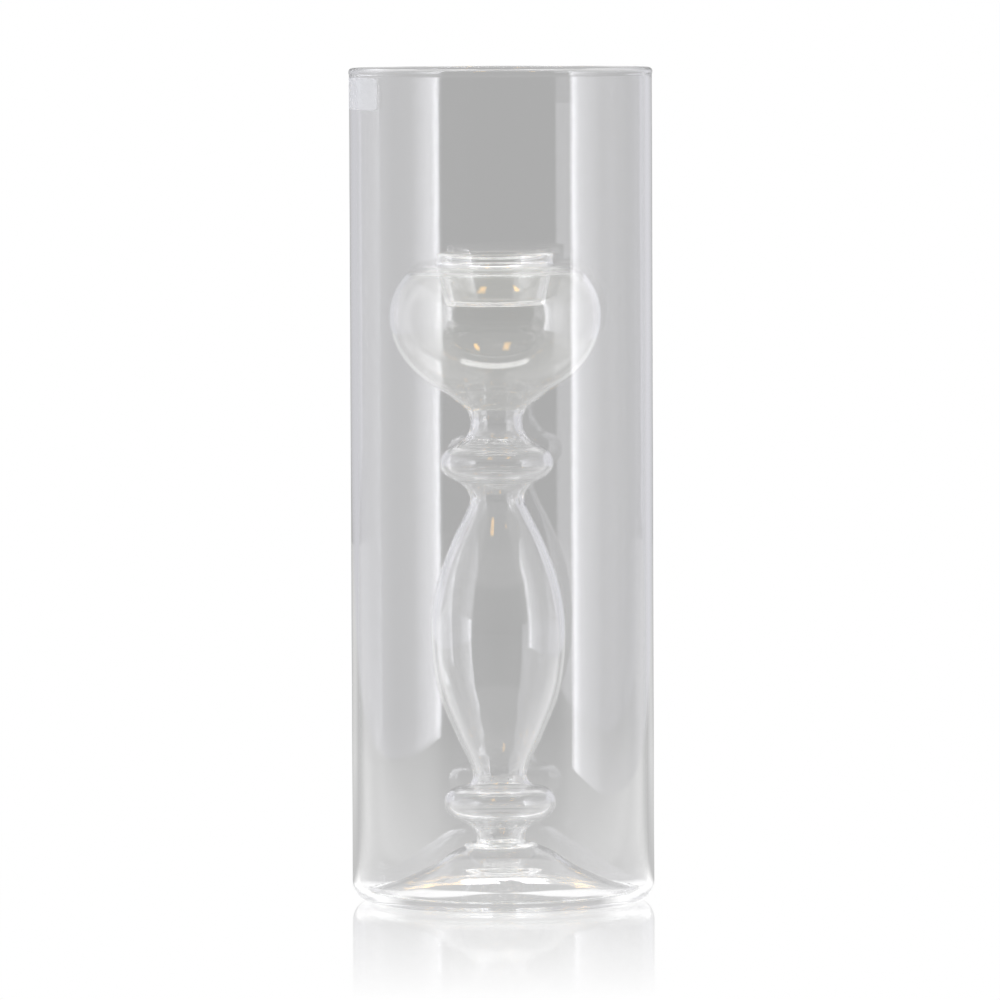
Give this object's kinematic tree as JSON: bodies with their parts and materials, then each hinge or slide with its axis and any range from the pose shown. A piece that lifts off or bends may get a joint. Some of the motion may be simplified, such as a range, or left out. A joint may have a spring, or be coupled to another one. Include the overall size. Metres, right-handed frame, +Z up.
{
  "type": "glass hurricane candle light",
  "caption": "Tall clear glass tube closed by a domed floor, with a blown glass stem inside that carries a bowl and an open cup for a tea light.",
  "frame": {"origin": "centre of the ring that the light stands on, on the surface it rests on", "axes": "+Z up along the tube, -Y the front, +X to the right seen from the front"},
  "size_m": [0.1206, 0.1206, 0.331],
  "materials": {
    "tube_glass": "clear drawn borosilicate tube, fire-polished lip",
    "floor_glass": "clear blown borosilicate with hand-worked ripples",
    "stem_glass": "clear blown borosilicate, smooth",
    "bowl_glass": "clear blown borosilicate, smooth",
    "cup_glass": "clear moulded borosilicate with faint vertical ripples",
    "weld_glass": "clear flame-worked weld, uneven and slightly green in depth"
  },
  "bodies": {
    "root": {"hurricane_tube": "tube_glass", "domed_floor": "floor_glass", "heel_seal": "weld_glass", "crown_weld": "weld_glass", "lower_neck": "stem_glass", "lower_knop": "stem_glass", "baluster": "stem_glass", "upper_knop": "stem_glass", "upper_neck": "stem_glass", "bowl": "bowl_glass", "cup_seal": "weld_glass", "candle_cup": "cup_glass"}
  },
  "joints": []
}
